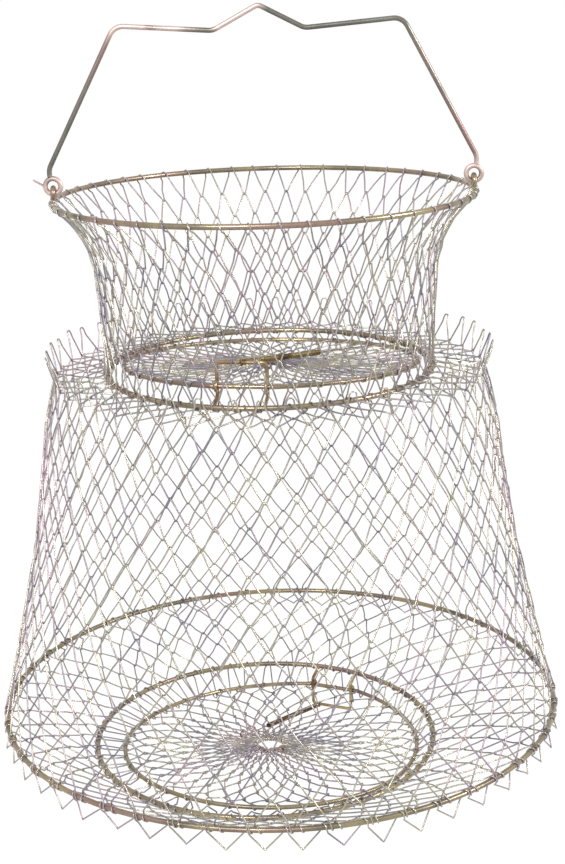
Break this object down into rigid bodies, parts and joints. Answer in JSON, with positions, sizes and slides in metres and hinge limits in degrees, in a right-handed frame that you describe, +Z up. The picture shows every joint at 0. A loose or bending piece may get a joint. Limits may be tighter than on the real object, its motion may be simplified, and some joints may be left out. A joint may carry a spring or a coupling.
{
  "type": "folding crab trap",
  "caption": "Folding wire-mesh crab and fish trap that hangs from a bail: flared neck, bell-shaped body, and spring-closed net doors in the throat and the bottom.",
  "frame": {"origin": "hang point: centre of the wire at the peak of the bail", "axes": "+Z up along the hanging trap; X through the two bail pivots; -Y is the front, the side of the top door's hinge"},
  "size_m": [0.3414, 0.3414, 0.4599],
  "materials": {
    "hoop_wire": "yellow zinc plated drawn wire, worn satin",
    "bail_wire": "plated drawn wire, worn satin",
    "net_wire": "thin yellow zinc plated wire",
    "yoke_wire": "yellow zinc plated wire",
    "spring_wire": "bronze-coloured spring wire",
    "eyelet_wire": "reddish bronze wire"
  },
  "bodies": {
    "bail": {"bail_handle": "bail_wire"},
    "mouth": {"top_ring": "hoop_wire", "neck_row_1": "net_wire"},
    "neck_2": {"neck_row_2": "net_wire"},
    "neck_3": {"neck_row_3": "net_wire"},
    "neck_4": {"neck_row_4": "net_wire"},
    "neck_5": {"neck_row_5": "net_wire"},
    "neck_6": {"neck_row_6": "net_wire"},
    "neck_7": {"neck_row_7": "net_wire"},
    "throat": {"neck_row_8": "net_wire", "throat_ring": "hoop_wire", "top_hinge_yoke": "yoke_wire", "top_door_spring": "spring_wire", "shoulder_row_1": "net_wire", "shoulder_row_2": "net_wire", "shoulder_row_3": "net_wire", "shoulder_fringe": "net_wire", "side_row_01": "net_wire"},
    "side_02": {"side_row_02": "net_wire"},
    "side_03": {"side_row_03": "net_wire"},
    "side_04": {"side_row_04": "net_wire"},
    "side_05": {"side_row_05": "net_wire"},
    "side_06": {"side_row_06": "net_wire"},
    "side_07": {"side_row_07": "net_wire"},
    "side_08": {"side_row_08": "net_wire"},
    "side_09": {"side_row_09": "net_wire"},
    "side_10": {"side_row_10": "net_wire"},
    "side_11": {"side_row_11": "net_wire"},
    "side_12": {"side_row_12": "net_wire"},
    "side_13": {"side_row_13": "net_wire"},
    "side_14": {"side_row_14": "net_wire"},
    "side_15": {"side_row_15": "net_wire"},
    "base": {"side_row_16": "net_wire", "bottom_hoop": "hoop_wire", "hoop_fringe": "net_wire", "bottom_row_1": "net_wire", "bottom_row_2": "net_wire", "bottom_row_3": "net_wire", "bottom_row_4": "net_wire", "bottom_row_5": "net_wire", "bottom_row_6": "net_wire", "collar_ring": "hoop_wire", "bottom_hinge_yoke": "yoke_wire", "bottom_door_spring": "spring_wire"},
    "top_door": {"top_door_ring": "hoop_wire", "top_door_row_1": "net_wire", "top_door_row_2": "net_wire", "top_door_row_3": "net_wire", "top_door_row_4": "net_wire", "top_door_row_5": "net_wire", "top_door_eyelet": "eyelet_wire"},
    "bottom_door": {"bottom_door_ring": "hoop_wire", "bottom_door_row_1": "net_wire", "bottom_door_row_2": "net_wire", "bottom_door_row_3": "net_wire", "bottom_door_row_4": "net_wire", "bottom_door_row_5": "net_wire", "bottom_door_eyelet": "eyelet_wire"}
  },
  "joints": [
    {"name": "bail_swing", "type": "hinge", "parent": "bail", "child": "mouth", "pos_m": [0, 0, -0.0985], "axis": [1, 0, 0], "range_deg": [-85, 85]},
    {"name": "neck_fold", "type": "slide", "parent": "mouth", "child": "throat", "axis": [0, 0, 1], "range_m": [0, 0.07]},
    {"name": "neck_row_2_fold", "type": "slide", "parent": "mouth", "child": "neck_2", "axis": [0, 0, 1], "range_m": [0, 0.0105]},
    {"name": "neck_row_3_fold", "type": "slide", "parent": "mouth", "child": "neck_3", "axis": [0, 0, 1], "range_m": [0, 0.0205]},
    {"name": "neck_row_4_fold", "type": "slide", "parent": "mouth", "child": "neck_4", "axis": [0, 0, 1], "range_m": [0, 0.0305]},
    {"name": "neck_row_5_fold", "type": "slide", "parent": "mouth", "child": "neck_5", "axis": [0, 0, 1], "range_m": [0, 0.0405]},
    {"name": "neck_row_6_fold", "type": "slide", "parent": "mouth", "child": "neck_6", "axis": [0, 0, 1], "range_m": [0, 0.0505]},
    {"name": "neck_row_7_fold", "type": "slide", "parent": "mouth", "child": "neck_7", "axis": [0, 0, 1], "range_m": [0, 0.0605]},
    {"name": "body_fold", "type": "slide", "parent": "throat", "child": "base", "axis": [0, 0, 1], "range_m": [0, 0.188]},
    {"name": "side_row_02_fold", "type": "slide", "parent": "throat", "child": "side_02", "axis": [0, 0, 1], "range_m": [0, 0.01303]},
    {"name": "side_row_03_fold", "type": "slide", "parent": "throat", "child": "side_03", "axis": [0, 0, 1], "range_m": [0, 0.02557]},
    {"name": "side_row_04_fold", "type": "slide", "parent": "throat", "child": "side_04", "axis": [0, 0, 1], "range_m": [0, 0.0381]},
    {"name": "side_row_05_fold", "type": "slide", "parent": "throat", "child": "side_05", "axis": [0, 0, 1], "range_m": [0, 0.05063]},
    {"name": "side_row_06_fold", "type": "slide", "parent": "throat", "child": "side_06", "axis": [0, 0, 1], "range_m": [0, 0.06317]},
    {"name": "side_row_07_fold", "type": "slide", "parent": "throat", "child": "side_07", "axis": [0, 0, 1], "range_m": [0, 0.0757]},
    {"name": "side_row_08_fold", "type": "slide", "parent": "throat", "child": "side_08", "axis": [0, 0, 1], "range_m": [0, 0.08823]},
    {"name": "side_row_09_fold", "type": "slide", "parent": "throat", "child": "side_09", "axis": [0, 0, 1], "range_m": [0, 0.10077]},
    {"name": "side_row_10_fold", "type": "slide", "parent": "throat", "child": "side_10", "axis": [0, 0, 1], "range_m": [0, 0.1133]},
    {"name": "side_row_11_fold", "type": "slide", "parent": "throat", "child": "side_11", "axis": [0, 0, 1], "range_m": [0, 0.12583]},
    {"name": "side_row_12_fold", "type": "slide", "parent": "throat", "child": "side_12", "axis": [0, 0, 1], "range_m": [0, 0.13837]},
    {"name": "side_row_13_fold", "type": "slide", "parent": "throat", "child": "side_13", "axis": [0, 0, 1], "range_m": [0, 0.1509]},
    {"name": "side_row_14_fold", "type": "slide", "parent": "throat", "child": "side_14", "axis": [0, 0, 1], "range_m": [0, 0.16343]},
    {"name": "side_row_15_fold", "type": "slide", "parent": "throat", "child": "side_15", "axis": [0, 0, 1], "range_m": [0, 0.17597]},
    {"name": "top_door_hinge", "type": "hinge", "parent": "throat", "child": "top_door", "pos_m": [-0.01466, -0.08312, -0.1915], "axis": [0.9848, -0.1736, 0], "range_deg": [-55, 0], "stiffness_Nm_per_rad": 0.1, "springref_deg": 51.57, "deforming": ["top_door_spring"]},
    {"name": "bottom_door_hinge", "type": "hinge", "parent": "base", "child": "bottom_door", "pos_m": [0.03463, 0.08303, -0.4435], "axis": [0.9135, -0.4067, 0], "range_deg": [-55, 0], "stiffness_Nm_per_rad": 0.1, "springref_deg": 51.57, "deforming": ["bottom_door_spring"]}
  ],
  "couplings": [
    {"joint": "neck_row_2_fold", "follows": "neck_fold", "ratio": 0.14286},
    {"joint": "neck_row_3_fold", "follows": "neck_fold", "ratio": 0.28571},
    {"joint": "neck_row_4_fold", "follows": "neck_fold", "ratio": 0.42857},
    {"joint": "neck_row_5_fold", "follows": "neck_fold", "ratio": 0.57143},
    {"joint": "neck_row_6_fold", "follows": "neck_fold", "ratio": 0.71429},
    {"joint": "neck_row_7_fold", "follows": "neck_fold", "ratio": 0.85714},
    {"joint": "side_row_02_fold", "follows": "body_fold", "ratio": 0.066667},
    {"joint": "side_row_03_fold", "follows": "body_fold", "ratio": 0.13333},
    {"joint": "side_row_04_fold", "follows": "body_fold", "ratio": 0.2},
    {"joint": "side_row_05_fold", "follows": "body_fold", "ratio": 0.26667},
    {"joint": "side_row_06_fold", "follows": "body_fold", "ratio": 0.33333},
    {"joint": "side_row_07_fold", "follows": "body_fold", "ratio": 0.4},
    {"joint": "side_row_08_fold", "follows": "body_fold", "ratio": 0.46667},
    {"joint": "side_row_09_fold", "follows": "body_fold", "ratio": 0.53333},
    {"joint": "side_row_10_fold", "follows": "body_fold", "ratio": 0.6},
    {"joint": "side_row_11_fold", "follows": "body_fold", "ratio": 0.66667},
    {"joint": "side_row_12_fold", "follows": "body_fold", "ratio": 0.73333},
    {"joint": "side_row_13_fold", "follows": "body_fold", "ratio": 0.8},
    {"joint": "side_row_14_fold", "follows": "body_fold", "ratio": 0.86667},
    {"joint": "side_row_15_fold", "follows": "body_fold", "ratio": 0.93333}
  ]
}
